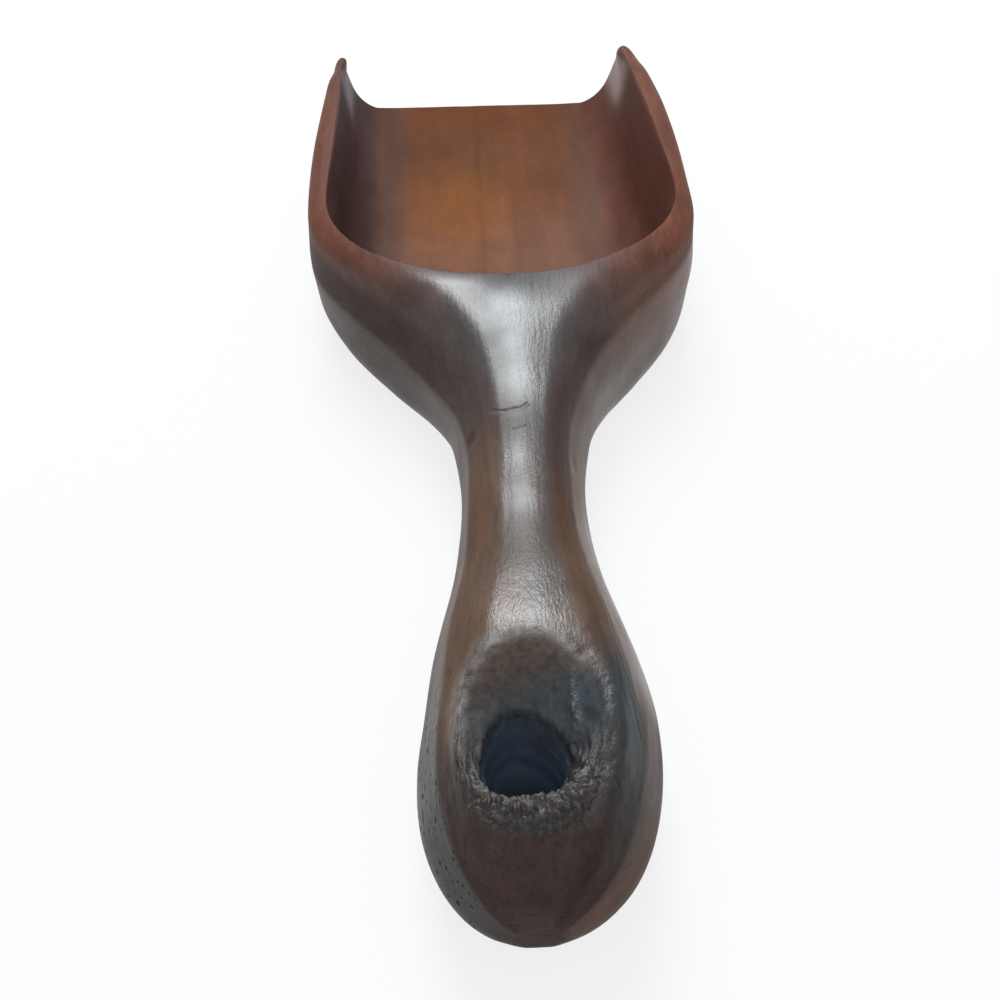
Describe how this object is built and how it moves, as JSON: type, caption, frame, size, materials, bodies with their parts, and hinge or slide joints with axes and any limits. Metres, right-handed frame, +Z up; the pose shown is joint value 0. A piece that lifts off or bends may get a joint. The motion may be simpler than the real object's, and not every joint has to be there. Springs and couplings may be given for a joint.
{
  "type": "carved wooden scoop",
  "caption": "One-piece carved hardwood scoop with a flat-floored bowl, horned side walls, faceted shoulders, slim neck and a knob with a crusted hollow.",
  "frame": {"origin": "on the surface that the scoop stands on, under the middle of its length and width", "axes": "+Y runs from the knob to the lip of the bowl, +Z is up, +X is to the right seen from behind the knob"},
  "size_m": [0.106, 0.2898, 0.0441],
  "materials": {
    "polished_wood": "hand-polished dark hardwood, worn glossy on its high places",
    "dark_crust": "dark lumpy residue with a wet shine"
  },
  "bodies": {
    "root": {"carved_scoop": "polished_wood", "hollow_crust": "dark_crust"}
  },
  "joints": []
}
